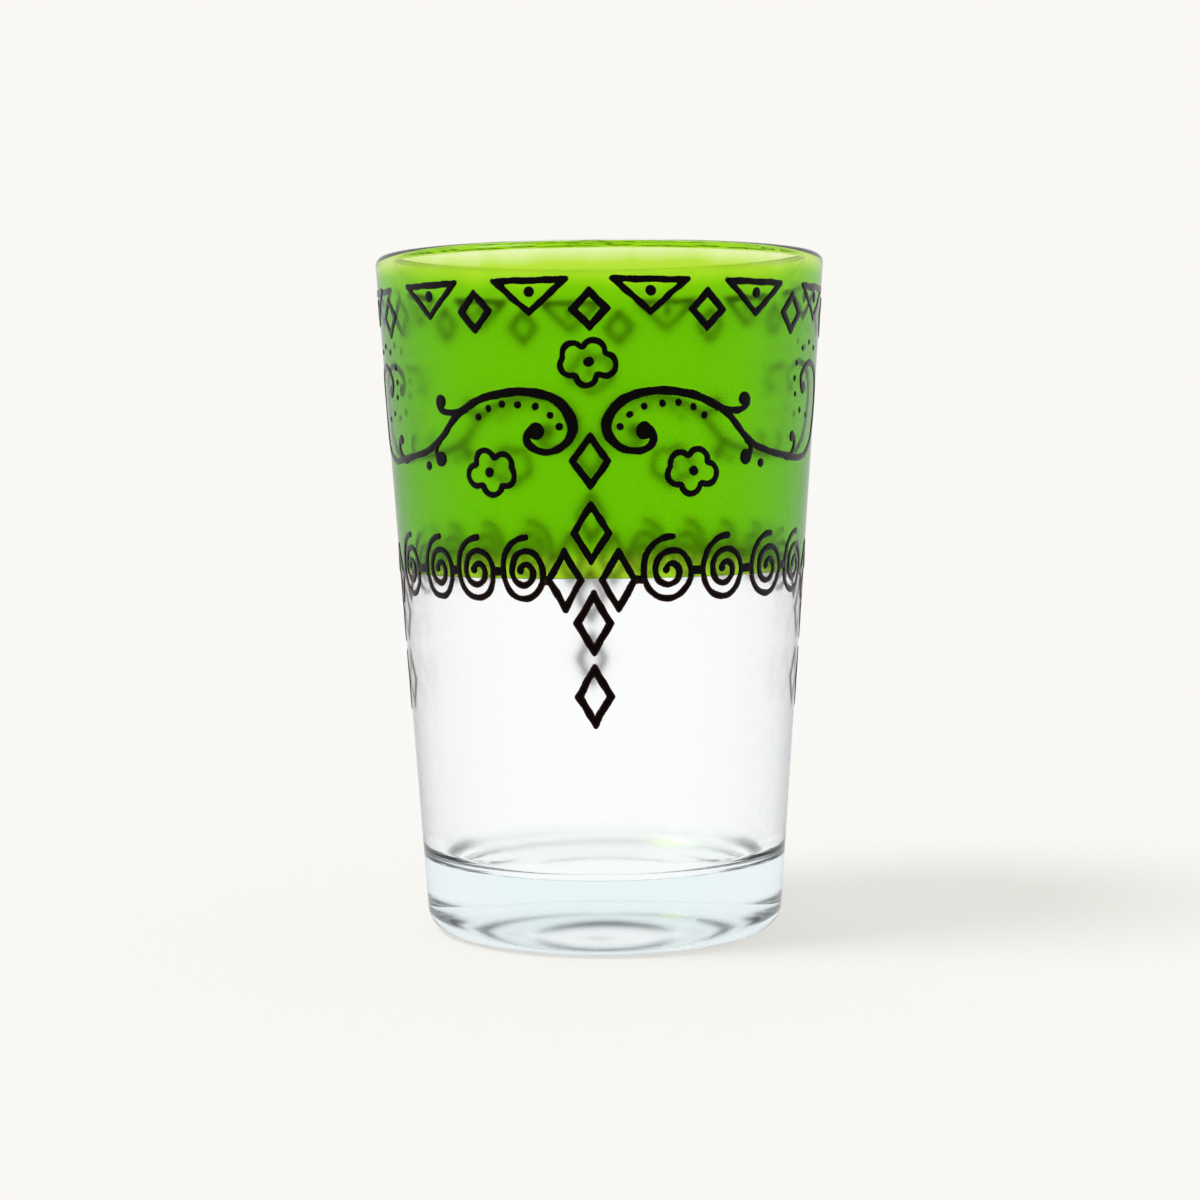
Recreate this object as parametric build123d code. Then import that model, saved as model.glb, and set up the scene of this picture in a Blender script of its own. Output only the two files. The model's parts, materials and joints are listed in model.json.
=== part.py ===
from build123d import *

import os
from math import cos, degrees, radians, sin

# Moroccan tea glass: a pressed clear tumbler with a green stained band and raised black enamel ornament.
# All sizes are in millimetres and all angles in degrees.
# The axis of the glass is Z, the table is at height zero and the front ornament column faces -Y.
# Angles run from the front column, positive towards +X.

# Pressed glass tumbler
GLASS_HEIGHT = 90.0
RIM_RADIUS = 29.8
FOOT_RADIUS = 23.75
RIM_WALL = 2.2
RIM_FLAT = 0.2
RIM_ROUND_INSIDE = 0.8
FLOOR_WALL = 2.9
FLOOR_HEIGHT = 9.6
FLOOR_CORNER_ROUND = 2.4
FLOOR_LEDGE = 3.3
FLOOR_DISH_DEPTH = 0.6
HEEL_ROUND = 3.0
STAND_RING_WIDTH = 1.2
PUSH_UP_DEPTH = 4.9
PUSH_UP_FLANK = 7.9
PUSH_UP_EDGE_ROUND = 0.6

# Green stain on the outside, from its edge up over most of the rim's rounding
STAIN_EDGE_HEIGHT = 48.4
STAIN_RIM_GAP = 0.3
STAIN_THICKNESS = 0.1

# Raised enamel
ENAMEL_RELIEF = 0.12
CORNER_ROUND = 0.3

# Frieze under the rim: triangles and diamonds in turn, painted round from a starting angle
RIM_TO_FRIEZE = 4.53
FRIEZE_COUNT = 12
FRIEZE_PITCH = 29.45
FRIEZE_START = -43.9
TRIANGLE_SPAN = 21.9
TRIANGLE_DEPTH = 4.8
TRIANGLE_LINE = 0.77
TRIANGLE_DOT_DROP = 1.75
TRIANGLE_DOT_RADIUS = 0.64
FRIEZE_DIAMOND_DROP = 3.95
FRIEZE_DIAMOND_SPAN = 10.65
FRIEZE_DIAMOND_DEPTH = 5.65
FRIEZE_DIAMOND_LINE = 0.9

# Flowers: petal centres are offsets in angle and height from the flower's heart
PETALS = ((1.2, 1.37), (-3.9, 0.93), (-4.5, -0.35), (-0.7, -1.55), (3.95, -0.37))
PETAL_RADIUS = 1.68
FLOWER_LINE = 0.73
FLOWER_HEART_RADIUS = 0.62
CROWN_FLOWER_GAP = 0.55
SIDE_FLOWER_RISE = 13.24
SIDE_FLOWER_ANGLE = 27.0

# Scroll vine: places are pairs of angle and rise above the vine's foot
FLOWER_TO_VINE_FOOT = 1.33
VINE_FOOT_TO_CROWN = 12.13
VOLUTE_PATH = (
    (13.4, 4.1),
    (15.4, 3.55),
    (16.05, 2.75),
    (14.9, 1.75),
    (12.0, 1.16),
    (8.0, 1.5),
    (5.0, 2.75),
    (4.1, 4.4),
    (5.3, 6.0),
    (9.1, 7.75),
    (14.5, 8.45),
    (20.4, 8.57),
    (27.2, 7.95),
    (35.6, 6.15),
)
VOLUTE_BULB = (13.5, 3.72)
VOLUTE_BULB_RADIUS = 1.05
UPPER_HOOK_PATH = ((33.5, 6.55), (37.5, 6.15), (41.0, 6.3), (42.9, 6.95), (42.9, 7.75))
UPPER_HOOK_BULB = (42.0, 7.6)
UPPER_HOOK_BULB_RADIUS = 0.85
STEM_PATH = (
    (34.0, 6.5),
    (37.3, 5.4),
    (41.4, 3.4),
    (46.0, 1.9),
    (52.7, 0.93),
    (59.5, 0.45),
    (66.0, 0.1),
    (73.5, 0.5),
    (80.0, 2.6),
    (83.2, 6.3),
    (82.0, 10.1),
    (76.5, 12.2),
    (70.0, 11.9),
    (66.9, 10.2),
    (68.3, 9.0),
)
STEM_BULB = (68.9, 9.1)
STEM_BULB_RADIUS = 0.8
LOWER_HOOK_PATH = ((43.4, 2.5), (44.7, 1.5), (44.3, 0.6))
LOWER_HOOK_BULB = (43.0, 0.35)
LOWER_HOOK_BULB_RADIUS = 0.95
TENDRIL_PATH = ((59.8, 0.4), (64.4, 1.1), (64.9, 2.3), (63.6, 3.0))
TENDRIL_BULB = (63.2, 2.85)
TENDRIL_BULB_RADIUS = 0.68

# Widths of the vine's brush strokes, as pairs of share of the stroke's length and width there
VOLUTE_LINE = ((0.0, 1.15), (0.2, 0.78), (0.4, 1.3), (0.62, 1.02), (1.0, 0.98))
STEM_LINE = ((0.0, 0.95), (0.1, 0.82), (1.0, 0.82))
HOOK_LINE = ((0.0, 0.95), (0.4, 0.78), (1.0, 0.78))

# Dots beside the vine, as pairs of angle and rise above the vine's foot
VOLUTE_DOTS = ((7.6, 4.24), (9.85, 5.65), (13.55, 6.7), (18.2, 7.02), (22.5, 7.1), (26.5, 6.57), (29.5, 5.51))
VOLUTE_DOT_RADIUS = 0.44
HOOK_DOT = (48.65, -0.5)
HOOK_DOT_RADIUS = 0.57
STEM_DOT_CENTRE = (72.1, 10.25)
STEM_DOT_RING = 4.75
STEM_DOT_TURNS = (60.0, 92.0, 124.0, 156.0, 180.0, 205.0, 238.0, 271.0)
STEM_DOT_RADIUS = 0.36

# Columns of diamonds, with rise or fall of each centre from the edge of the stain
COLUMN_LINE = 0.83
UPPER_DIAMOND_SPAN = 11.0
UPPER_DIAMOND_DEPTH = 7.45
MIDDLE_DIAMOND_RISE = 5.71
MIDDLE_DIAMOND_SPAN = 11.1
MIDDLE_DIAMOND_DEPTH = 8.4
BORDER_DIAMOND_FALL = 0.2
BORDER_DIAMOND_SPAN = 10.7
BORDER_DIAMOND_DEPTH = 8.65
BORDER_DIAMOND_ANGLE = 7.1
DROP_DIAMOND_FALLS = (5.58, 14.76)
DROP_DIAMOND_SPAN = 11.3
DROP_DIAMOND_DEPTH = 8.7
DROP_DIAMOND_LINE = 0.93
DROP_DIAMOND_LEAN = 0.5

# Band of spirals along the edge of the stain: angle of each eye and half span of its outer turn
SPIRALS = (
    (-62.9, 7.0),
    (-46.7, 6.95),
    (-32.5, 7.28),
    (-18.0, 7.0),
    (21.0, 8.3),
    (37.5, 7.8),
    (54.2, 8.0),
    (69.8, 7.5),
)
FILL_SPIRAL = (109.8, 5.8)
SPIRAL_RISE = 0.85
SPIRAL_HALF_DEPTH = 4.3
SPIRAL_EYE_RING = 0.55
SPIRAL_EYE_RADIUS = 0.5
SPIRAL_TIP_TURN = 86.0
SPIRAL_TURNS = 2.2
SPIRAL_LINE = 0.75
LINK_LINE = 1.05
LINK_BITE = 0.5

# A short column stands at the right, and the back half repeats the front, turned a little past half round
SIDE_COLUMN_ANGLE = 90.0
BACK_ANGLE = 186.0
BACK_TURN = Rot(0, 0, BACK_ANGLE)

# Rows of the ornament as drawn, measured up from the edge of the stain, and their fit to the real band
VINE_FOOT_RISE = SIDE_FLOWER_RISE + FLOWER_TO_VINE_FOOT
CROWN_RISE = VINE_FOOT_RISE + VINE_FOOT_TO_CROWN
PETAL_REACH = max(petal[1] for petal in PETALS) + PETAL_RADIUS
FRIEZE_DIAMOND_RISE = CROWN_RISE + PETAL_REACH + CROWN_FLOWER_GAP + FRIEZE_DIAMOND_DEPTH / 2
FRIEZE_RISE = FRIEZE_DIAMOND_RISE + FRIEZE_DIAMOND_DROP
STRETCH = (GLASS_HEIGHT - STAIN_EDGE_HEIGHT) / (FRIEZE_RISE + RIM_TO_FRIEZE)

# Enamel is drawn on upright panels well inside the wall and pushed out right through it
PANEL_SHARE = 0.7
PANEL_DISTANCE = PANEL_SHARE * min(FOOT_RADIUS, RIM_RADIUS)
PANEL_REACH = max(FOOT_RADIUS, RIM_RADIUS) / PANEL_SHARE - PANEL_DISTANCE
VOLUTE_PANEL = 22.0
STEM_PANEL = 62.0

# Points that shape a curve: along each span of a brush stroke, and along a whole spiral
STROKE_STEPS = 3
SPIRAL_STEPS = 16


def outer_radius(height):
    """Outside radius of the bare glass wall."""
    return FOOT_RADIUS + (RIM_RADIUS - FOOT_RADIUS) * height / GLASS_HEIGHT


def inner_radius(height):
    """Inside radius of the wall, which thickens towards the floor."""
    share = (height - FLOOR_HEIGHT) / (GLASS_HEIGHT - FLOOR_HEIGHT)
    return outer_radius(height) - FLOOR_WALL - (RIM_WALL - FLOOR_WALL) * share


def dome_radius(half_width, rise):
    """Radius of the sphere that rises by a given amount over a given half width."""
    return (half_width**2 + rise**2) / (2 * rise)


def rounded(face, corner, radius):
    """Face with the corner nearest a point rounded off."""
    nearest = face.vertices().sort_by_distance((corner[0], corner[1], 0.0))[0]
    return fillet(nearest, radius)


def make_glass():
    """Tumbler with rounded rim and heel, dished floor, and a domed push-up inside its stand ring."""
    push_edge = (FOOT_RADIUS - HEEL_ROUND - STAND_RING_WIDTH, 0.0)
    push_crown = (push_edge[0] - PUSH_UP_FLANK, PUSH_UP_DEPTH)
    push_top = (0.0, PUSH_UP_DEPTH)
    heel = (FOOT_RADIUS, 0.0)
    rim_outside = (RIM_RADIUS, GLASS_HEIGHT)
    rim_inside = (inner_radius(GLASS_HEIGHT), GLASS_HEIGHT)
    floor_corner = (inner_radius(FLOOR_HEIGHT), FLOOR_HEIGHT)
    dish_edge = (floor_corner[0] - FLOOR_CORNER_ROUND - FLOOR_LEDGE, FLOOR_HEIGHT)
    dish_bottom = (0.0, FLOOR_HEIGHT - FLOOR_DISH_DEPTH)
    outline = make_face(
        [
            Bezier(push_top, push_crown, push_edge),
            Polyline(push_edge, heel, rim_outside, rim_inside, floor_corner, dish_edge),
            RadiusArc(dish_edge, dish_bottom, dome_radius(dish_edge[0], FLOOR_DISH_DEPTH)),
            Line(dish_bottom, push_top),
        ]
    )
    outline = rounded(outline, push_edge, PUSH_UP_EDGE_ROUND)
    outline = rounded(outline, heel, HEEL_ROUND)
    outline = rounded(outline, rim_outside, rim_round_outside())
    outline = rounded(outline, rim_inside, RIM_ROUND_INSIDE)
    outline = rounded(outline, floor_corner, FLOOR_CORNER_ROUND)
    return revolve(Plane.XZ * outline, axis=Axis.Z)


def rim_round_outside():
    """Outside rounding that the rim's wall, its flat and its inside rounding leave."""
    return RIM_WALL - RIM_FLAT - RIM_ROUND_INSIDE


def filled_outline(growth):
    """Half section of the tumbler as if it were full, grown by a coating of the given thickness."""
    bottom = (FOOT_RADIUS + growth, 0.0)
    top = (RIM_RADIUS + growth, GLASS_HEIGHT + growth)
    section = make_face(Polyline((0.0, 0.0), bottom, top, (0.0, top[1]), close=True))
    return rounded(section, top, rim_round_outside() + growth)


def skin(inside, outside, bottom, top):
    """Thin coating between two growths of the outside wall and between two heights."""
    reach = max(FOOT_RADIUS, RIM_RADIUS) + outside
    slab = Pos(0.0, (bottom + top) / 2) * Rectangle(2 * reach, top - bottom)
    section = (filled_outline(outside) - filled_outline(inside)) & slab
    return revolve(Plane.XZ * section, axis=Axis.Z)


def make_stain():
    """Green stain on the upper part of the outside."""
    return skin(0.0, STAIN_THICKNESS, STAIN_EDGE_HEIGHT, GLASS_HEIGHT - STAIN_RIM_GAP)


def make_enamel_skin():
    """Coating that all enamel is cut from: on the bare glass low down, on the stain higher up."""
    low = skin(0.0, ENAMEL_RELIEF, HEEL_ROUND, STAIN_EDGE_HEIGHT)
    high_top = GLASS_HEIGHT - rim_round_outside()
    high = skin(STAIN_THICKNESS, STAIN_THICKNESS + ENAMEL_RELIEF, STAIN_EDGE_HEIGHT, high_top)
    return low + high


ENAMEL_SKIN = make_enamel_skin()


def prism(sketch, angle):
    """Sketch drawn on the panel that faces out at an angle, pushed out through the wall."""
    outward = Vector(sin(radians(angle)), -cos(radians(angle)), 0.0)
    along = Vector(cos(radians(angle)), sin(radians(angle)), 0.0)
    panel = Plane(origin=outward * PANEL_DISTANCE, x_dir=along, z_dir=outward)
    return extrude(panel * sketch, amount=PANEL_REACH)


def enamel(sketch, angle):
    """Sketch laid on the glass as raised enamel."""
    return prism(sketch, angle) & ENAMEL_SKIN


def on_panel(angle, rise):
    """Point of a panel at an angle from its middle and a drawn rise from the edge of the stain."""
    height = STAIN_EDGE_HEIGHT + rise * (STRETCH if rise > 0 else 1)
    return (outer_radius(height) * sin(radians(angle)), height)


def spot(angle, rise, radius):
    """Filled round spot on a panel."""
    return Pos(*on_panel(angle, rise)) * Circle(radius)


def enamel_dot(angle, rise, radius):
    """Single raised dot."""
    return enamel(spot(0, rise, radius), angle)


def width_at(line, share):
    """Width of a brush stroke at a share of its length."""
    for (start, start_width), (end, end_width) in zip(line, line[1:]):
        if share <= end:
            break
    return start_width + (end_width - start_width) * (share - start) / (end - start)


def stroke(points, line):
    """Brush stroke along a smooth path, swelling and thinning as its line says, with round ends."""
    path = Spline(*points)
    steps = STROKE_STEPS * len(points)
    left = []
    right = []
    for step in range(steps + 1):
        share = step / steps
        way = path % share
        side = Vector(-way.Y, way.X, 0.0) * (width_at(line, share) / 2)
        left.append(path @ share + side)
        right.append(path @ share - side)
    start_tip = path @ 0 - (path % 0) * (width_at(line, 0) / 2)
    end_tip = path @ 1 + (path % 1) * (width_at(line, 1) / 2)
    return make_face(
        [
            Spline(*left),
            ThreePointArc(left[-1], end_tip, right[-1]),
            Spline(*reversed(right)),
            ThreePointArc(right[0], start_tip, left[0]),
        ]
    )


def outlined(corners, line):
    """Line of even width along the inside of a polygon, with its outer corners rounded."""
    outer = Polygon(*corners, align=None)
    hole = offset(outer, amount=-line, kind=Kind.INTERSECTION)
    return fillet(outer.vertices(), CORNER_ROUND) - hole


def diamond(rise, span, depth, line):
    """Outline of an upright diamond."""
    corners = [
        on_panel(-span / 2, rise),
        on_panel(0, rise - depth / 2),
        on_panel(span / 2, rise),
        on_panel(0, rise + depth / 2),
    ]
    return outlined(corners, line)


def triangle():
    """Outline of a triangle that hangs from its top side."""
    corners = [
        on_panel(-TRIANGLE_SPAN / 2, FRIEZE_RISE),
        on_panel(0, FRIEZE_RISE - TRIANGLE_DEPTH),
        on_panel(TRIANGLE_SPAN / 2, FRIEZE_RISE),
    ]
    return outlined(corners, TRIANGLE_LINE)


def flower(rise):
    """Outline of a five-petal flower."""
    centres = [on_panel(angle, rise + up) for angle, up in PETALS]
    petals = Polygon(*centres, align=None)
    for centre in centres:
        petals += Pos(*centre) * Circle(PETAL_RADIUS)
    return petals - offset(petals, amount=-FLOWER_LINE)


def spiral_point(turn, half_span):
    """Angle and rise of a spiral after a number of turns in from its tip to the ring round its eye."""
    inward = turn / SPIRAL_TURNS
    eye_span = degrees(SPIRAL_EYE_RING / outer_radius(STAIN_EDGE_HEIGHT))
    across = half_span + (eye_span - half_span) * inward
    upward = SPIRAL_HALF_DEPTH + (SPIRAL_EYE_RING - SPIRAL_HALF_DEPTH) * inward
    way = radians(SPIRAL_TIP_TURN + 360 * turn)
    return (across * cos(way), SPIRAL_RISE + upward * sin(way))


def spiral(half_span):
    """Spiral that winds in to a round eye."""
    turns = [SPIRAL_TURNS * step / SPIRAL_STEPS for step in range(SPIRAL_STEPS + 1)]
    points = [on_panel(*spiral_point(turn, half_span)) for turn in turns]
    line = ((0.0, SPIRAL_LINE), (1.0, SPIRAL_LINE))
    return stroke(points, line) + Pos(*points[-1]) * Circle(SPIRAL_EYE_RADIUS)


def front_and_back(shapes):
    """Shapes of the front half with their copies on the back half."""
    return shapes + [BACK_TURN * shape for shape in shapes]


def both_sides(shapes):
    """Shapes to the right of the front column with their mirror images to its left."""
    return shapes + [mirror(shape, about=Plane.YZ) for shape in shapes]


def make_frieze():
    """Triangles with their dots, and diamonds between them."""
    hanging = enamel(triangle(), 0)
    middle = enamel_dot(0, FRIEZE_RISE - TRIANGLE_DOT_DROP, TRIANGLE_DOT_RADIUS)
    between = enamel(
        diamond(FRIEZE_DIAMOND_RISE, FRIEZE_DIAMOND_SPAN, FRIEZE_DIAMOND_DEPTH, FRIEZE_DIAMOND_LINE), 0
    )
    turns = [Rot(0, 0, FRIEZE_START + number * FRIEZE_PITCH) for number in range(FRIEZE_COUNT)]
    triangles = [turn * hanging for turn in turns]
    dots = [turn * middle for turn in turns]
    diamonds = [turn * Rot(0, 0, FRIEZE_PITCH / 2) * between for turn in turns]
    return triangles, dots, diamonds


def make_flowers():
    """Crown flower over the front column and flowers under the vines, with their hearts."""
    crown = [enamel(flower(CROWN_RISE), 0)]
    sides = both_sides([enamel(flower(SIDE_FLOWER_RISE), SIDE_FLOWER_ANGLE)])
    hearts = [enamel_dot(0, CROWN_RISE, FLOWER_HEART_RADIUS)]
    hearts += both_sides([enamel_dot(SIDE_FLOWER_ANGLE, SIDE_FLOWER_RISE, FLOWER_HEART_RADIUS)])
    return crown, sides, hearts


def vine_stroke(path, line, panel):
    """Brush stroke through places on the vine, drawn on a panel."""
    return stroke([on_panel(angle - panel, VINE_FOOT_RISE + rise) for angle, rise in path], line)


def vine_spot(place, radius, panel):
    """Round end of a vine stroke, drawn on a panel."""
    return spot(place[0] - panel, VINE_FOOT_RISE + place[1], radius)


def make_vine():
    """Vine on the right of the front column: volute, hooks, tendril and curled stem in one piece."""
    front = vine_stroke(VOLUTE_PATH, VOLUTE_LINE, VOLUTE_PANEL)
    front += vine_stroke(UPPER_HOOK_PATH, HOOK_LINE, VOLUTE_PANEL)
    front += vine_spot(VOLUTE_BULB, VOLUTE_BULB_RADIUS, VOLUTE_PANEL)
    front += vine_spot(UPPER_HOOK_BULB, UPPER_HOOK_BULB_RADIUS, VOLUTE_PANEL)
    side = vine_stroke(STEM_PATH, STEM_LINE, STEM_PANEL)
    side += vine_stroke(LOWER_HOOK_PATH, HOOK_LINE, STEM_PANEL)
    side += vine_stroke(TENDRIL_PATH, HOOK_LINE, STEM_PANEL)
    side += vine_spot(STEM_BULB, STEM_BULB_RADIUS, STEM_PANEL)
    side += vine_spot(LOWER_HOOK_BULB, LOWER_HOOK_BULB_RADIUS, STEM_PANEL)
    side += vine_spot(TENDRIL_BULB, TENDRIL_BULB_RADIUS, STEM_PANEL)
    return (prism(front, VOLUTE_PANEL) + prism(side, STEM_PANEL)) & ENAMEL_SKIN


def stem_dot_places():
    """Angles and rises of the ring of dots round the curled end of the stem."""
    reach = outer_radius(GLASS_HEIGHT)
    places = []
    for turn in STEM_DOT_TURNS:
        sideways = degrees(STEM_DOT_RING * cos(radians(turn)) / reach)
        upward = STEM_DOT_RING * sin(radians(turn))
        places.append((STEM_DOT_CENTRE[0] + sideways, STEM_DOT_CENTRE[1] + upward))
    return places


def vine_dots(places, radius):
    """Raised dots beside the vines on both sides of each main column."""
    dots = [enamel_dot(angle, VINE_FOOT_RISE + rise, radius) for angle, rise in places]
    return front_and_back(both_sides(dots))


def make_columns():
    """Upper, middle and drop diamonds of the columns in the front half."""
    upper = enamel(diamond(VINE_FOOT_RISE, UPPER_DIAMOND_SPAN, UPPER_DIAMOND_DEPTH, COLUMN_LINE), 0)
    middle = enamel(
        diamond(MIDDLE_DIAMOND_RISE, MIDDLE_DIAMOND_SPAN, MIDDLE_DIAMOND_DEPTH, COLUMN_LINE), 0
    )
    drops = []
    for fall in DROP_DIAMOND_FALLS:
        drop = enamel(diamond(-fall, DROP_DIAMOND_SPAN, DROP_DIAMOND_DEPTH, DROP_DIAMOND_LINE), 0)
        drops += [Rot(0, 0, angle) * drop for angle in (DROP_DIAMOND_LEAN, SIDE_COLUMN_ANGLE)]
    return [upper], [middle], drops


def border_motif(angle):
    """Border diamond at an angle: its angle, rise, the angles where links meet its sides, and its body."""
    sketch = diamond(-BORDER_DIAMOND_FALL, BORDER_DIAMOND_SPAN, BORDER_DIAMOND_DEPTH, COLUMN_LINE)
    bite = degrees(COLUMN_LINE * LINK_BITE / outer_radius(STAIN_EDGE_HEIGHT))
    side = BORDER_DIAMOND_SPAN / 2 - bite
    return (angle, -BORDER_DIAMOND_FALL, angle - side, angle + side, prism(sketch, angle))


def spiral_motif(angle, half_span):
    """Spiral at an angle: its angle, rise, the angles where links meet its sides, and its body."""
    left_turn = (180 - SPIRAL_TIP_TURN) / 360
    left = angle + spiral_point(left_turn, half_span)[0]
    right = angle + spiral_point(left_turn + 0.5, half_span)[0]
    return (angle, SPIRAL_RISE, left, right, prism(spiral(half_span), angle))


def make_link(one, other):
    """Short bar between the facing sides of two motifs, at the height of the lower one's middle."""
    start = one[3]
    end = other[2]
    height = on_panel(0, min(one[1], other[1]))[1]
    length = 2 * outer_radius(height) * sin(radians(end - start) / 2)
    bar = Pos(0, height) * Rectangle(length, LINK_LINE)
    return (prism(bar, (start + end) / 2) - one[4] - other[4]) & ENAMEL_SKIN


def make_spiral_band():
    """Spirals, border diamonds of the columns, and the short links that join them round the glass."""
    columns = (0, SIDE_COLUMN_ANGLE, BACK_ANGLE, BACK_ANGLE + SIDE_COLUMN_ANGLE)
    borders = []
    for column in columns:
        borders += [border_motif(column + side * BORDER_DIAMOND_ANGLE) for side in (-1, 1)]
    places = list(SPIRALS) + [(angle + BACK_ANGLE, half_span) for angle, half_span in SPIRALS] + [FILL_SPIRAL]
    spirals = [spiral_motif(angle, half_span) for angle, half_span in places]
    chain = sorted(borders + spirals, key=lambda motif: motif[0])
    first = chain[0]
    chain.append((first[0] + 360, first[1], first[2] + 360, first[3] + 360, first[4]))
    pairs = [(one, other) for one, other in zip(chain, chain[1:]) if max(one[1], other[1]) > 0]
    links = [make_link(one, other) for one, other in pairs]
    return [motif[4] & ENAMEL_SKIN for motif in spirals], [motif[4] & ENAMEL_SKIN for motif in borders], links


def make_parts():
    """Every sub-part by name, each as a list of shapes."""
    triangles, triangle_dots, frieze_diamonds = make_frieze()
    crown_flowers, side_flowers, flower_hearts = make_flowers()
    upper_diamonds, middle_diamonds, drop_diamonds = make_columns()
    spirals, border_diamonds, links = make_spiral_band()
    vine_right = make_vine()
    vine_left = mirror(vine_right, about=Plane.YZ)
    return {
        "glass_body": [make_glass()],
        "green_stain": [make_stain()],
        "frieze_triangles": triangles,
        "frieze_triangle_dots": triangle_dots,
        "frieze_diamonds": frieze_diamonds,
        "crown_flowers": front_and_back(crown_flowers),
        "side_flowers": front_and_back(side_flowers),
        "flower_hearts": front_and_back(flower_hearts),
        "vine_front_right": [vine_right],
        "vine_front_left": [vine_left],
        "vine_back_right": [BACK_TURN * vine_left],
        "vine_back_left": [BACK_TURN * vine_right],
        "volute_dots": vine_dots(VOLUTE_DOTS, VOLUTE_DOT_RADIUS),
        "hook_dots": vine_dots([HOOK_DOT], HOOK_DOT_RADIUS),
        "stem_dots": vine_dots(stem_dot_places(), STEM_DOT_RADIUS),
        "upper_diamonds": front_and_back(upper_diamonds),
        "middle_diamonds": front_and_back(middle_diamonds),
        "drop_diamonds": front_and_back(drop_diamonds),
        "border_diamonds": border_diamonds,
        "spirals": spirals,
        "spiral_links": links,
    }


os.makedirs("parts", exist_ok=True)
for name, shapes in make_parts().items():
    export_step(Compound([solid for shape in shapes for solid in shape.solids()]), f"parts/{name}.step")
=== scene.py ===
import json
from math import acos, atan2, ceil, cos, hypot, pi, radians, sin, tan

import bpy
import numpy as np
from mathutils import Matrix, Vector


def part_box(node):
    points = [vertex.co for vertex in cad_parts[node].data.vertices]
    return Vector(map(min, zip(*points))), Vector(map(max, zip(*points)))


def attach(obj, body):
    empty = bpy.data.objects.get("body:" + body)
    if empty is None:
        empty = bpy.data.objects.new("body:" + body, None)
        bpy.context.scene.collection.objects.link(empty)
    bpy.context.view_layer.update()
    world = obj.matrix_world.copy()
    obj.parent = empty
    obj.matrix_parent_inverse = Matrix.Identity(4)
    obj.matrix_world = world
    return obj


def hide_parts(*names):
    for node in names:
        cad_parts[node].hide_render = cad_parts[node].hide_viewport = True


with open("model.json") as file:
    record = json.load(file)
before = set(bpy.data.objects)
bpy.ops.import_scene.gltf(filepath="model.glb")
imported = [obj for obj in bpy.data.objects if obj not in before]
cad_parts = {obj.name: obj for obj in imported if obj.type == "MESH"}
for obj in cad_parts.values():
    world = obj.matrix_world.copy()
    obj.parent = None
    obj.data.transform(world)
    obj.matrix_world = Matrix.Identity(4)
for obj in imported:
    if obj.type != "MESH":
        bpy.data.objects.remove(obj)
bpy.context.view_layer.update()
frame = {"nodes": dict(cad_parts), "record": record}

MM = 0.001

# Camera of the photograph: place in metres, angles in degrees
CAMERA_PLACE = Vector((0.01566, -0.32642, 0.06561))
CAMERA_HEADING = 2.8
CAMERA_DIP = 3.787
CAMERA_ROLL = -0.521
CAMERA_LENS = 72.79
CAMERA_SENSOR = 36.0
CAMERA_NEAREST = 0.01

# Section of the tumbler, in millimetres
GLASS_HEIGHT = 90.0
RIM_RADIUS = 29.8
FOOT_RADIUS = 23.75
RIM_WALL = 2.2
FLOOR_WALL = 2.9
FLOOR_HEIGHT = 9.6
RIM_ROUND_OUTSIDE = 1.2
RIM_ROUND_INSIDE = 0.8
FLOOR_CORNER_ROUND = 2.4
FLOOR_DISH_RADIUS = 15.5
FLOOR_DISH_DEPTH = 0.6
HEEL_ROUND = 3.0
PUSH_UP_RADIUS = 19.55
PUSH_UP_DEPTH = 4.9
PUSH_UP_FLANK = 7.9
PUSH_UP_EDGE_ROUND = 0.6

# Steps of a section in millimetres, the largest turn of a step in degrees, and the steps round the axis
WALL_STEP = 1.5
ARC_STEP = 0.4
ARC_TURN = 6.0
SECTION_TURNS = 288

# Green stain, in millimetres: its edges come from its node, and its film lies a hair under the surface
STAIN_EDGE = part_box("green_stain")[0].z / MM
STAIN_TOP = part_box("green_stain")[1].z / MM
STAIN_THICKNESS = 0.08
STAIN_OUTSIDE = 0.02
STAIN_INSIDE = 0.06

# Raised enamel, in millimetres: its section, how it bridges the stain's edge, and the grid that makes it
ENAMEL_RELIEF = 0.12
ENAMEL_SHOULDER = 0.3
ENAMEL_EDGE = 0.03
ENAMEL_SINK = 0.012
STAIN_RAMP = 0.25
STEP_REACH = 0.12
STEP_TOLERANCE = 0.002
LINK_OVERLAP = 0.25
ENAMEL_GRID = 0.08
GRID_MARGIN = 4 * ENAMEL_GRID
ENAMEL_REACH = 0.8
CROSSING_RANGE = (0.12, 0.88)
ENAMEL_CREASE = 70.0

# Unsteady hand of the painter, in millimetres: how far the brush strays, and over what length
BRUSH_SPREAD = 0.04
BRUSH_WANDER = 0.05
WANDER_WAVES = (5.3, 6.1)
BRUSH_SWELL = 0.045
SWELL_WAVE = 3.1
BRUSH_FRAY = 0.022
FRAY_WAVE = 0.55
BRUSH_RIPPLES = ((1.0, 0.37), (-0.62, 1.21), (0.81, -1.07), (1.63, 0.55))
RIPPLE_SHIFT = 2.17
RIPPLE_PEAK = 2.5
SEED_SHIFT = 7.31
ISLAND_SEED = 0.37
NODE_SEED = 1.91

# Least share of a normal that makes a surface face outward or inward, or downward
SIDE_FACING = 0.5
DOWN_FACING = 0.3

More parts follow.
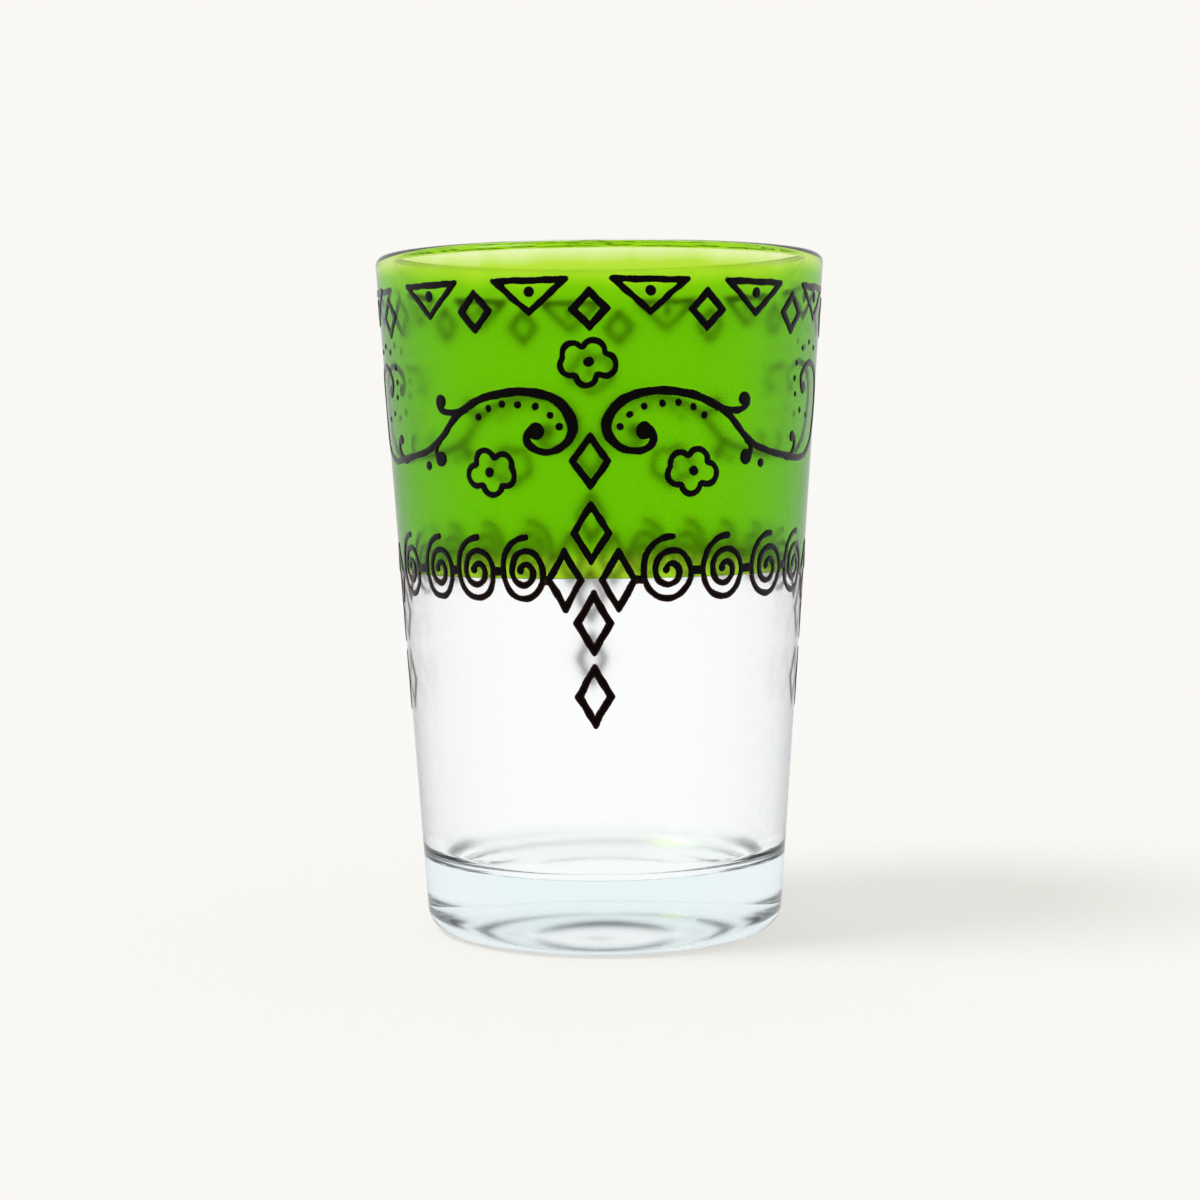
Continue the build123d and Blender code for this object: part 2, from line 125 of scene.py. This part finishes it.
# Glass: clear head on, bright at its limbs, rough where the mould pressed it, fire-polished at the rim
GLASS_IOR = 1.5
HEAD_ON_GLINT = (0.06, 0.06, 0.06, 1.0)
GLASS_DEPTH_COLOUR = (0.72, 0.863, 0.891, 1.0)
GLASS_DEPTH_DENSITY = 15.0
INSIDE_ROUGHNESS = 0.169
UNDERSIDE_ROUGHNESS = 0.18
FIRE_POLISH_DEPTH = 10.0
FIRE_POLISH_LEAST = 0.25
GLASS_WAVE_SCALE = 90.0
GLASS_WAVE_STRETCH = (1.0, 1.0, 3.0)
GLASS_WAVE_STRENGTH = 0.03
GLASS_WAVE_DEPTH = 0.0002

# Colours of the stain from its lower edge to the rim, and the size of its streaks. The pale stops at the
# top stand partly for a thinner film and partly for a painted highlight of the rounded rim
STAIN_AND_PAINTED_RIM_HIGHLIGHT_COLOURS = (
    (0.0, (0.4, 0.7, 0.022)),
    (0.13, (0.382, 0.732, 0.012)),
    (0.86, (0.388, 0.738, 0.014)),
    (0.93, (0.5, 0.79, 0.05)),
    (0.965, (0.77, 0.915, 0.36)),
    (1.0, (0.93, 0.97, 0.76)),
)
STREAK_SCALE = 160.0
STREAK_STRETCH = (1.0, 1.0, 6.0)
STREAK_REACH = 0.03

# Colours of the enamel from thin to thick, and its grain
ENAMEL_COLOURS = ((0.3, (0.05, 0.015, 0.009)), (1.0, (0.0024, 0.0015, 0.0014)))
ENAMEL_ROUGHNESS = (0.12, 0.3)
GRAIN_SCALE = 900.0
GRAIN_STRENGTH = 0.25
GRAIN_DEPTH = 0.0001

# Studio: colours, strengths, sizes in millimetres and angles in degrees
WHITE = (1.0, 1.0, 1.0, 1.0)
BACKDROP = (0.956, 0.939, 0.905, 1.0)
SKY_COLOUR = (1.0, 0.99, 0.97, 1.0)
SKY_LIGHT = 0.6
MIRRORED_LIGHT = 0.7
FLOOR_COLOUR = (0.908, 0.901, 0.885, 1.0)
FLOOR_GLOW_SHARE = 0.55
FLOOR_REACH = 3000.0
FLOOR_DROP = 0.02
SUN_ENERGY = 1.75
SUN_WIDTH = 25.0
SUN_HEADING = 20.0
SUN_TILT = -34.5


def outer_radius(height):
    """Outside radius of the bare glass wall."""
    return FOOT_RADIUS + (RIM_RADIUS - FOOT_RADIUS) * height / GLASS_HEIGHT


def inner_radius(height):
    """Inside radius of the wall, which thickens towards the floor."""
    share = (height - FLOOR_HEIGHT) / (GLASS_HEIGHT - FLOOR_HEIGHT)
    return outer_radius(height) - FLOOR_WALL - (RIM_WALL - FLOOR_WALL) * share


def surface_radius(height):
    """Outside radius under the enamel, which bridges the stain's edge with a short ramp."""
    rise = np.clip((height - STAIN_EDGE) / STAIN_RAMP + 1.0, 0.0, 1.0)
    return outer_radius(height) + STAIN_THICKNESS * rise


def unit(vector):
    """Vector of length one in a plane."""
    return vector / hypot(*vector)


def spin_by(angle):
    """Rotation matrix in a plane."""
    return np.array(((cos(angle), -sin(angle)), (sin(angle), cos(angle))))


def rounded_path(corners, step):
    """Points and outward normals along a line through corners.

    Each corner has a radius, a height and a rounding.
    In place of the rounding it may have the lengths before and after it that a free curve takes up.
    """
    places = [np.array(corner[:2], float) for corner in corners]
    points = []
    normals = []
    start = places[0]
    for number in range(1, len(corners)):
        way = unit(places[number] - places[number - 1])
        last = number == len(corners) - 1
        free = len(corners[number]) == 4
        before = after = 0.0
        if not last:
            onward = unit(places[number + 1] - places[number])
            turn = acos(max(-1.0, min(1.0, float(way @ onward))))
            if free:
                before, after = corners[number][2:]
            else:
                before = after = corners[number][2] * tan(turn / 2)
        end = places[number] - way * before
        pieces = max(1, ceil(hypot(*(end - start)) / step))
        for piece in range(pieces + (1 if last or not before else 0)):
            points.append(start + (end - start) * piece / pieces)
            normals.append(np.array((way[1], -way[0])))
        start = end
        if before:
            start = places[number] + onward * after
            side = np.sign(way[0] * onward[1] - way[1] * onward[0])
            arms = max(3, ceil(turn / radians(ARC_TURN)), ceil((before + after) / ARC_STEP))
            for share in np.arange(arms) / arms:
                if free:
                    along = (places[number] - end) * (1 - share) + (start - places[number]) * share
                    points.append(end + (places[number] - end) * share + along * share)
                else:
                    along = spin_by(side * turn * share) @ way
                    centre = end + np.array((-way[1], way[0])) * side * corners[number][2]
                    points.append(centre + spin_by(side * turn * share) @ (end - centre))
                normals.append(np.array((unit(along)[1], -unit(along)[0])))
    return np.array(points), np.array(normals)


def new_piece(name, points, faces, material, normals=None):
    """Mesh object with points in millimetres, smooth shading and its material."""
    mesh = bpy.data.meshes.new(name)
    mesh.from_pydata(np.asarray(points) * MM, [], faces)
    mesh.materials.append(material)
    mesh.shade_smooth()
    if normals is not None:
        mesh.normals_split_custom_set_from_vertices(normals)
    mesh.update()
    piece = bpy.data.objects.new(name, mesh)
    bpy.context.scene.collection.objects.link(piece)
    return piece


def add_attribute(piece, name, values):
    """Value at each point of a piece, for its material."""
    attribute = piece.data.attributes.new(name, "FLOAT", "POINT")
    attribute.data.foreach_set("value", values)


def stand_for(piece, node):
    """Piece that takes the place of a node, and rides the one body."""
    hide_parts(node)
    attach(piece, "root")


def points_in_row(path):
    """Number of points that each row of a revolved path has: one on the axis, otherwise a full ring."""
    return np.where(path[:, 0] < 1e-9, 1, SECTION_TURNS)


def revolved(name, path, normals, material, closed):
    """Path in radius and height turned about the axis; an open path starts and ends on the axis."""
    turns = np.arange(SECTION_TURNS) * 2 * pi / SECTION_TURNS
    ring = np.stack((np.cos(turns), np.sin(turns)), axis=1)
    counts = points_in_row(path)
    points = []
    outward = []
    for (radius, height), (along, upward), count in zip(path, normals, counts):
        for x, y in ring[:count]:
            points.append((radius * x, radius * y, height))
            outward.append((along * x, along * y, upward) if count > 1 else (0.0, 0.0, upward))
    starts = np.concatenate(((0,), np.cumsum(counts)[:-1]))
    single = counts == 1
    faces = []
    for row in range(len(path) if closed else len(path) - 1):
        above = (row + 1) % len(path)
        for turn in range(SECTION_TURNS):
            onward = (turn + 1) % SECTION_TURNS
            face = [starts[row]] if single[row] else [starts[row] + turn, starts[row] + onward]
            face += [starts[above]] if single[above] else [starts[above] + onward, starts[above] + turn]
            faces.append(face)
    return new_piece(name, points, faces, material, outward)


def tumbler_section():
    """Half section of the tumbler, from the middle of the underside round by the rim to the floor."""
    crown = PUSH_UP_RADIUS - PUSH_UP_FLANK
    flank = hypot(PUSH_UP_FLANK, PUSH_UP_DEPTH) - PUSH_UP_EDGE_ROUND / 2
    edge_radius = outer_radius(STAIN_EDGE)
    corners = [
        (0.0, PUSH_UP_DEPTH, 0.0),
        (crown, PUSH_UP_DEPTH, crown, flank),
        (PUSH_UP_RADIUS, 0.0, PUSH_UP_EDGE_ROUND),
        (FOOT_RADIUS, 0.0, HEEL_ROUND),
        (edge_radius, STAIN_EDGE, STAIN_THICKNESS / 3),
        (edge_radius + STAIN_THICKNESS, STAIN_EDGE, STAIN_THICKNESS / 3),
        (RIM_RADIUS + STAIN_THICKNESS, GLASS_HEIGHT, RIM_ROUND_OUTSIDE),
        (inner_radius(GLASS_HEIGHT), GLASS_HEIGHT, RIM_ROUND_INSIDE),
        (inner_radius(FLOOR_HEIGHT), FLOOR_HEIGHT, FLOOR_CORNER_ROUND),
        (FLOOR_DISH_RADIUS, FLOOR_HEIGHT, FLOOR_DISH_RADIUS / 4),
        (0.0, FLOOR_HEIGHT - FLOOR_DISH_DEPTH, 0.0),
    ]
    return rounded_path(corners, WALL_STEP)


def make_tumbler():
    """Clear glass body, with the roughness that the mould left on its inside wall and underside."""
    path, normals = tumbler_section()
    heights = path[:, 1]
    inside = (normals[:, 0] < -SIDE_FACING) & (heights > FLOOR_HEIGHT + FLOOR_CORNER_ROUND)
    underside = (normals[:, 1] < -DOWN_FACING) & (heights < FLOOR_HEIGHT)
    polish = np.clip((GLASS_HEIGHT - heights) / FIRE_POLISH_DEPTH, FIRE_POLISH_LEAST, 1.0)
    roughness = INSIDE_ROUGHNESS * inside * polish + UNDERSIDE_ROUGHNESS * underside
    piece = revolved("tumbler", path, normals, glass_material(), False)
    add_attribute(piece, "moulded_roughness", np.repeat(roughness, points_in_row(path)))
    stand_for(piece, "glass_body")


def make_stain():
    """Thin green coat that follows the outside of the glass from its lower edge on to the rim."""
    path, normals = tumbler_section()
    past_edge = (path[:, 1] >= STAIN_EDGE) & (path[:, 0] > outer_radius(STAIN_EDGE) + STAIN_OUTSIDE)
    first = int(np.argmax(past_edge))
    last = int(np.argmax(path[:, 1] >= STAIN_TOP))
    band, facing = path[first:last], normals[first:last]
    shell = np.concatenate((band - facing * STAIN_OUTSIDE, (band - facing * STAIN_INSIDE)[::-1]))
    outward = np.concatenate((facing, -facing[::-1]))
    film = revolved("green_film", shell, outward, stain_material(), True)
    stand_for(film, "green_stain")


def outward_triangles(node):
    """Spots of a node as angle and height, and the triangles between them that face outward."""
    mesh = frame["nodes"][node].data
    mesh.calc_loop_triangles()
    places = np.array([vertex.co for vertex in mesh.vertices]) / MM
    corners = np.array([triangle.vertices for triangle in mesh.loop_triangles])
    sides = places[corners]
    facing = np.cross(sides[:, 1] - sides[:, 0], sides[:, 2] - sides[:, 0])
    middles = sides.mean(axis=1) * (1.0, 1.0, 0.0)
    lengths = np.linalg.norm(facing, axis=1) * np.linalg.norm(middles, axis=1)
    corners = corners[(facing * middles).sum(axis=1) / lengths > SIDE_FACING]
    angles = np.arctan2(places[:, 0], -places[:, 1])
    flat = np.stack((angles * RIM_RADIUS, places[:, 2]), axis=1)
    keys = {}
    merged = np.array([keys.setdefault((round(u, 3), round(v, 3)), len(keys)) for u, v in flat])
    spots = np.zeros((len(keys), 2))
    spots[merged] = np.stack((angles, places[:, 2]), axis=1)
    return spots, merged[corners]


def outward_islands(node):
    """Outlines of each painted island of a node: middle angle, mean height and boundary segments.

    The halves of a stroke above and below the stain's edge make one island, with no boundary between.
    """
    spots, corners = outward_triangles(node)
    group = list(range(len(spots)))

    def root(item):
        """Spot that stands for the whole group of a spot."""
        while group[item] != item:
            group[item] = group[group[item]]
            item = group[item]
        return item

    edges = {}
    for a, b, c in corners:
        group[root(a)] = root(b)
        group[root(b)] = root(c)
        for edge in ((a, b), (b, c), (c, a)):
            key = (min(edge), max(edge))
            edges[key] = edges.get(key, 0) + 1
    on_step = np.abs(spots[:, 1] - STAIN_EDGE) < STEP_TOLERANCE
    step_spots = sorted(np.flatnonzero(on_step), key=lambda spot: spots[spot, 0])
    for spot, onward in zip(step_spots, step_spots[1:]):
        if (spots[onward, 0] - spots[spot, 0]) * RIM_RADIUS < STEP_REACH:
            group[root(spot)] = root(onward)
    islands = {}
    for (a, b), uses in edges.items():
        if uses == 1 and not (on_step[a] and on_step[b]):
            islands.setdefault(root(a), []).append((spots[a], spots[b]))
    outlines = []
    for segments in islands.values():
        segments = np.array(segments)
        middle = atan2(np.sin(segments[:, :, 0]).mean(), np.cos(segments[:, :, 0]).mean())
        segments[:, :, 0] = (segments[:, :, 0] - middle + pi) % (2 * pi) - pi
        outlines.append((middle, segments[:, :, 1].mean(), segments))
    return outlines


def brush(u, v, reach, wave, seed):
    """Smooth value that wanders by a reach to both sides, for the unsteady hand of a painter."""
    total = 0.0
    for number, (across, along) in enumerate(BRUSH_RIPPLES):
        shift = seed * SEED_SHIFT + number * RIPPLE_SHIFT
        total = total + np.sin((across * u + along * v) * 2 * pi / wave + shift)
    return reach * total / RIPPLE_PEAK


def paint_depth(segments, us, vs):
    """Distance inside a painted outline, negative outside it, on a grid of the unrolled wall."""
    near = np.full((len(vs), len(us)), ENAMEL_REACH)
    inside = np.zeros(near.shape, bool)
    for start, end in segments:
        low = np.minimum(start, end) - ENAMEL_REACH
        high = np.maximum(start, end) + ENAMEL_REACH
        columns = slice(*np.searchsorted(us, (low[0], high[0])))
        rows = slice(*np.searchsorted(vs, (low[1], high[1])))
        way = end - start
        u = us[columns] - start[0]
        v = (vs[rows] - start[1])[:, None]
        share = np.clip((u * way[0] + v * way[1]) / max(way @ way, 1e-12), 0.0, 1.0)
        gap = np.hypot(u - share * way[0], v - share * way[1])
        near[rows, columns] = np.minimum(near[rows, columns], gap)
        lower, upper = np.searchsorted(vs, sorted((start[1], end[1])))
        for row in range(lower, upper):
            crossing = start[0] + (vs[row] - start[1]) * way[0] / way[1]
            inside[row, :np.searchsorted(us, crossing)] ^= True
    return np.where(inside, near, -near)


def smoothed(field):
    """Field blended a little with its neighbours."""
    for axis in (0, 1):
        field = (np.roll(field, 1, axis) + 2 * field + np.roll(field, -1, axis)) / 4
    return field


def domed_relief(depth):
    """Height of the paint above the wall, which rises over a rounded shoulder from its edge."""
    share = np.clip(depth / ENAMEL_SHOULDER, 0.0, 1.0)
    return smoothed(smoothed(ENAMEL_RELIEF * np.sqrt(1 - (1 - share) ** 2)))


def painted_grid(outline, seed, overlap):
    """Grid on the unrolled wall round one outline, and how deep inside the paint each point lies."""
    middle, height, segments = outline
    scale = float(surface_radius(height))
    plane = segments * (scale, 1.0)
    plane[:, :, 0] += np.sign(plane[:, :, 0]) * overlap
    far = plane[:, :, 0] + middle * scale
    wander = (
        brush(far, plane[:, :, 1], BRUSH_WANDER, WANDER_WAVES[0], seed),
        brush(plane[:, :, 1], far, BRUSH_WANDER, WANDER_WAVES[1], seed + 1),
    )
    plane = plane + np.stack(wander, axis=2)
    low = plane.min(axis=(0, 1)) - GRID_MARGIN
    high = plane.max(axis=(0, 1)) + GRID_MARGIN
    us = np.arange(low[0], high[0], ENAMEL_GRID)
    vs = np.arange(low[1], high[1], ENAMEL_GRID)
    u, v = np.meshgrid(us, vs)
    far = u + middle * scale
    swell = brush(far, v, BRUSH_SWELL, SWELL_WAVE, seed + 2)
    fray = brush(far, v, BRUSH_FRAY, FRAY_WAVE, seed + 3)
    return u, v, paint_depth(plane, us, vs) + (swell + fray) + BRUSH_SPREAD


def cut_cells(u, v, depth):
    """Painted part of a grid, cut along the paint's edge: points with their relief, faces and edges."""
    painted = depth > 0
    number = np.full(painted.shape, -1)
    number[painted] = np.arange(painted.sum())
    relief = np.maximum(domed_relief(depth)[painted], ENAMEL_EDGE)
    points = list(zip(u[painted], v[painted], relief))
    crossings = {}

    def crossing(one, other):
        """Number of the point where the edge of the paint crosses a side of a cell."""
        key = (min(one, other), max(one, other))
        if key not in crossings:
            share = np.clip(depth[one] / (depth[one] - depth[other]), *CROSSING_RANGE)
            across = u[one] + (u[other] - u[one]) * share
            upward = v[one] + (v[other] - v[one]) * share
            crossings[key] = len(points)
            points.append((across, upward, ENAMEL_EDGE))
        return crossings[key]

    tops = []
    rims = []
    count = painted[:-1, :-1].astype(int) + painted[1:, :-1] + painted[:-1, 1:] + painted[1:, 1:]
    for row, column in np.argwhere(count == 4):
        lower = [number[row, column], number[row, column + 1]]
        tops.append(lower + [number[row + 1, column + 1], number[row + 1, column]])
    for row, column in np.argwhere((count > 0) & (count < 4)):
        corners = [(row, column), (row, column + 1), (row + 1, column + 1), (row + 1, column)]
        face = []
        leaving = []
        for corner, onward in zip(corners, corners[1:] + corners[:1]):
            if painted[corner]:
                face.append(number[corner])
            if painted[corner] != painted[onward]:
                face.append(crossing(corner, onward))
                leaving.append((bool(painted[corner]), face[-1]))
        tops.append(face)
        if leaving[0][0]:
            pairs = zip(leaving[0::2], leaving[1::2])
        else:
            pairs = zip(leaving[1::2], leaving[2::2] + leaving[:1])
        rims += [(out[1], back[1]) for out, back in pairs]
    return np.array(points), tops, rims


def raised_island(outline, seed, overlap):
    """Points, faces and cover of one raised island of enamel with a domed top."""
    flat, tops, rims = cut_cells(*painted_grid(outline, seed, overlap))
    middle, height, _ = outline
    total = len(flat)
    angles = middle + flat[:, 0] / float(surface_radius(height))
    base = surface_radius(flat[:, 1])
    points = []
    for lift in (flat[:, 2], -ENAMEL_SINK):
        radius = base + lift
        points.append(np.stack((radius * np.sin(angles), -radius * np.cos(angles), flat[:, 1]), axis=1))
    faces = tops + [[corner + total for corner in reversed(face)] for face in tops]
    faces += [[one, one + total, other + total, other] for one, other in rims]
    cover = np.where(flat[:, 1] < STAIN_EDGE, flat[:, 2] / ENAMEL_RELIEF, 1.0)
    return np.concatenate(points), faces, np.concatenate((cover, np.ones(total)))


def make_enamel(node, material, seed):
    """Raised enamel that stands for one ornament node, painted along that node's own outlines."""
    points = []
    faces = []
    cover = []
    start = 0
    overlap = LINK_OVERLAP if node == "spiral_links" else 0.0
    for number, outline in enumerate(outward_islands(node)):
        island, island_faces, island_cover = raised_island(outline, seed + number * ISLAND_SEED, overlap)
        points.append(island)
        faces += [[corner + start for corner in face] for face in island_faces]
        cover.append(island_cover)
        start += len(island)
    piece = new_piece("painted_" + node, np.concatenate(points), faces, material)
    add_attribute(piece, "paint_cover", np.concatenate(cover))
    piece.data.set_sharp_from_angle(angle=radians(ENAMEL_CREASE))
    stand_for(piece, node)


def make_ornament():
    """All enamel, one piece for each ornament node."""
    material = enamel_material()
    parts = [part for part in frame["record"]["subparts"] if part["material_slot"] == "black_enamel"]
    for number, part in enumerate(parts):
        make_enamel(part["node"], material, number * NODE_SEED)


def new_material(name):
    """Empty node material, its node tree and its output."""
    material = bpy.data.materials.new(name)
    material.use_nodes = True
    tree = material.node_tree
    tree.nodes.clear()
    return material, tree, tree.nodes.new("ShaderNodeOutputMaterial")


def add_node(tree, kind, **values):
    """New node with values for its named sockets or properties."""
    node = tree.nodes.new(kind)
    for name, value in values.items():
        socket = name.replace("_", " ").title()
        if socket in node.inputs:
            node.inputs[socket].default_value = value
        else:
            setattr(node, name, value)
    return node


def add_noise(tree, scale, detail, stretch):
    """Noise in the object's own space, drawn out along its axes."""
    place = add_node(tree, "ShaderNodeTexCoord")
    squeeze = add_node(tree, "ShaderNodeMapping", vector_type="TEXTURE", Scale=stretch)
    noise = add_node(tree, "ShaderNodeTexNoise", Scale=scale, Detail=detail)
    tree.links.new(place.outputs["Object"], squeeze.inputs["Vector"])
    tree.links.new(squeeze.outputs["Vector"], noise.inputs["Vector"])
    return noise


def add_bump(tree, shader, noise, strength, distance):
    """Fine unevenness of a surface."""
    bump = add_node(tree, "ShaderNodeBump", Strength=strength, Distance=distance)
    tree.links.new(noise.outputs["Fac"], bump.inputs["Height"])
    tree.links.new(bump.outputs["Normal"], shader.inputs["Normal"])


def add_ramp(tree, stops):
    """Colour ramp through pairs of position and colour."""
    ramp = add_node(tree, "ShaderNodeValToRGB")
    while len(ramp.color_ramp.elements) < len(stops):
        ramp.color_ramp.elements.new(1.0)
    for element, (position, colour) in zip(ramp.color_ramp.elements, stops):
        element.position = position
        element.color = (*colour, 1.0)
    return ramp


def glass_material():
    """Soda-lime glass, faintly blue-green in depth, with slight waves and the roughness of its mould."""
    material, tree, output = new_material("clear_glass")
    shader = add_node(tree, "ShaderNodeBsdfPrincipled")
    shader.inputs["Base Color"].default_value = WHITE
    shader.inputs["IOR"].default_value = GLASS_IOR
    shader.inputs["Specular Tint"].default_value = HEAD_ON_GLINT
    shader.inputs["Transmission Weight"].default_value = 1.0
    roughness = add_node(tree, "ShaderNodeAttribute", attribute_name="moulded_roughness")
    absorb = add_node(
        tree, "ShaderNodeVolumeAbsorption", Color=GLASS_DEPTH_COLOUR, Density=GLASS_DEPTH_DENSITY
    )
    waves = add_noise(tree, GLASS_WAVE_SCALE, 2.0, GLASS_WAVE_STRETCH)
    add_bump(tree, shader, waves, GLASS_WAVE_STRENGTH, GLASS_WAVE_DEPTH)
    tree.links.new(roughness.outputs["Fac"], shader.inputs["Roughness"])
    tree.links.new(shader.outputs["BSDF"], output.inputs["Surface"])
    tree.links.new(absorb.outputs["Volume"], output.inputs["Volume"])
    return material


def stain_material():
    """Transparent green stain that thins out towards the rim, with faint streaks; its pale top is also a
    painted highlight of the rounded rim.
    """
    material, tree, output = new_material("green_stain")
    shader = add_node(tree, "ShaderNodeBsdfPrincipled", Roughness=0.0)
    shader.inputs["IOR"].default_value = 1.0
    shader.inputs["Transmission Weight"].default_value = 1.0
    place = add_node(tree, "ShaderNodeTexCoord")
    axes = add_node(tree, "ShaderNodeSeparateXYZ")
    rise = add_node(tree, "ShaderNodeMapRange")
    rise.inputs["From Min"].default_value = STAIN_EDGE * MM
    rise.inputs["From Max"].default_value = GLASS_HEIGHT * MM
    noise = add_noise(tree, STREAK_SCALE, 4.0, STREAK_STRETCH)
    streaks = add_node(tree, "ShaderNodeMapRange")
    streaks.inputs["To Min"].default_value = -STREAK_REACH
    streaks.inputs["To Max"].default_value = STREAK_REACH
    blend = add_node(tree, "ShaderNodeMath", operation="ADD")
    # Stain colour by height: its pale top near the rim is partly a thinner film and partly a painted
    # highlight
    ramp = add_ramp(tree, STAIN_AND_PAINTED_RIM_HIGHLIGHT_COLOURS)
    tree.links.new(place.outputs["Object"], axes.inputs["Vector"])
    tree.links.new(axes.outputs["Z"], rise.inputs["Value"])
    tree.links.new(noise.outputs["Fac"], streaks.inputs["Value"])
    tree.links.new(rise.outputs["Result"], blend.inputs[0])
    tree.links.new(streaks.outputs["Result"], blend.inputs[1])
    tree.links.new(blend.outputs["Value"], ramp.inputs["Fac"])
    tree.links.new(ramp.outputs["Color"], shader.inputs["Base Color"])
    tree.links.new(shader.outputs["BSDF"], output.inputs["Surface"])
    return material


def enamel_material():
    """Fired enamel, black where it is thick or lies on the stain, brown along thin edges on clear glass."""
    material, tree, output = new_material("black_enamel")
    shader = add_node(tree, "ShaderNodeBsdfPrincipled")
    shader.inputs["IOR"].default_value = GLASS_IOR
    shader.inputs["Specular Tint"].default_value = HEAD_ON_GLINT
    cover = add_node(tree, "ShaderNodeAttribute", attribute_name="paint_cover")
    ramp = add_ramp(tree, ENAMEL_COLOURS)
    grain = add_noise(tree, GRAIN_SCALE, 3.0, (1.0, 1.0, 1.0))
    gloss = add_node(tree, "ShaderNodeMapRange")
    gloss.inputs["To Min"].default_value = ENAMEL_ROUGHNESS[0]
    gloss.inputs["To Max"].default_value = ENAMEL_ROUGHNESS[1]
    tree.links.new(cover.outputs["Fac"], ramp.inputs["Fac"])
    tree.links.new(ramp.outputs["Color"], shader.inputs["Base Color"])
    tree.links.new(grain.outputs["Fac"], gloss.inputs["Value"])
    tree.links.new(gloss.outputs["Result"], shader.inputs["Roughness"])
    add_bump(tree, shader, grain, GRAIN_STRENGTH, GRAIN_DEPTH)
    tree.links.new(shader.outputs["BSDF"], output.inputs["Surface"])
    return material


def shown_by_ray(tree, shader, *rays):
    """Shader that gives way to another for each named kind of ray."""
    path = add_node(tree, "ShaderNodeLightPath")
    for ray, other in rays:
        mix = add_node(tree, "ShaderNodeMixShader")
        tree.links.new(path.outputs[ray], mix.inputs["Fac"])
        tree.links.new(shader.outputs[0], mix.inputs[1])
        tree.links.new(other.outputs[0], mix.inputs[2])
        shader = mix
    return shader


def make_world():
    """Even white surroundings, with the backdrop's own colour where the camera sees it."""
    world = bpy.data.worlds.new("studio")
    bpy.context.scene.world = world
    world.use_nodes = True
    tree = world.node_tree
    tree.nodes.clear()
    light = add_node(tree, "ShaderNodeBackground", Color=SKY_COLOUR, Strength=SKY_LIGHT)
    mirrored = add_node(tree, "ShaderNodeBackground", Color=WHITE, Strength=MIRRORED_LIGHT)
    through = add_node(tree, "ShaderNodeBackground", Color=WHITE, Strength=1.0)
    seen = add_node(tree, "ShaderNodeBackground", Color=BACKDROP, Strength=1.0)
    rays = (("Is Glossy Ray", mirrored), ("Is Transmission Ray", through), ("Is Camera Ray", seen))
    output = add_node(tree, "ShaderNodeOutputWorld")
    tree.links.new(shown_by_ray(tree, light, *rays).outputs[0], output.inputs["Surface"])


def floor_material():
    """Pale floor that keeps the shadow, and that glass shows as bright as the surroundings."""
    material, tree, output = new_material("pale_floor")
    diffuse = add_node(tree, "ShaderNodeBsdfDiffuse", Color=FLOOR_COLOUR)
    lit = add_node(tree, "ShaderNodeEmission", Color=BACKDROP, Strength=1.0)
    seen = add_node(tree, "ShaderNodeMixShader", Fac=FLOOR_GLOW_SHARE)
    mirrored = add_node(tree, "ShaderNodeEmission", Color=WHITE, Strength=MIRRORED_LIGHT)
    through = add_node(tree, "ShaderNodeEmission", Color=WHITE, Strength=1.0)
    tree.links.new(diffuse.outputs[0], seen.inputs[1])
    tree.links.new(lit.outputs[0], seen.inputs[2])
    shown = shown_by_ray(tree, seen, ("Is Glossy Ray", mirrored), ("Is Transmission Ray", through))
    tree.links.new(shown.outputs[0], output.inputs["Surface"])
    return material


def make_floor():
    """Plain floor, a hair under the foot of the glass."""
    corners = [
        (-FLOOR_REACH, -FLOOR_REACH, 0.0),
        (FLOOR_REACH, -FLOOR_REACH, 0.0),
        (FLOOR_REACH, FLOOR_REACH, 0.0),
        (-FLOOR_REACH, FLOOR_REACH, 0.0),
    ]
    floor = new_piece("floor", corners, [[0, 1, 2, 3]], floor_material())
    floor.location.z = -FLOOR_DROP * MM


def make_sun():
    """Soft key light from the left."""
    data = bpy.data.lights.new("key", "SUN")
    data.energy = SUN_ENERGY
    data.angle = radians(SUN_WIDTH)
    sun = bpy.data.objects.new("key", data)
    heading = Matrix.Rotation(radians(SUN_HEADING), 4, "Z")
    sun.matrix_world = heading @ Matrix.Rotation(radians(SUN_TILT), 4, "Y")
    bpy.context.scene.collection.objects.link(sun)


def make_camera():
    """Camera at the place and angle of the photograph."""
    data = bpy.data.cameras.new("photo_camera")
    data.lens = CAMERA_LENS
    data.sensor_width = CAMERA_SENSOR
    data.clip_start = CAMERA_NEAREST
    camera = bpy.data.objects.new("photo_camera", data)
    heading = Matrix.Rotation(radians(CAMERA_HEADING), 4, "Z")
    dip = Matrix.Rotation(radians(90 - CAMERA_DIP), 4, "X")
    roll = Matrix.Rotation(radians(CAMERA_ROLL), 4, "Z")
    camera.matrix_world = Matrix.Translation(CAMERA_PLACE) @ heading @ dip @ roll
    bpy.context.scene.collection.objects.link(camera)
    bpy.context.scene.camera = camera


bpy.context.scene.view_settings.view_transform = "Standard"
make_camera()
make_world()
make_floor()
make_sun()
make_tumbler()
make_stain()
make_ornament()
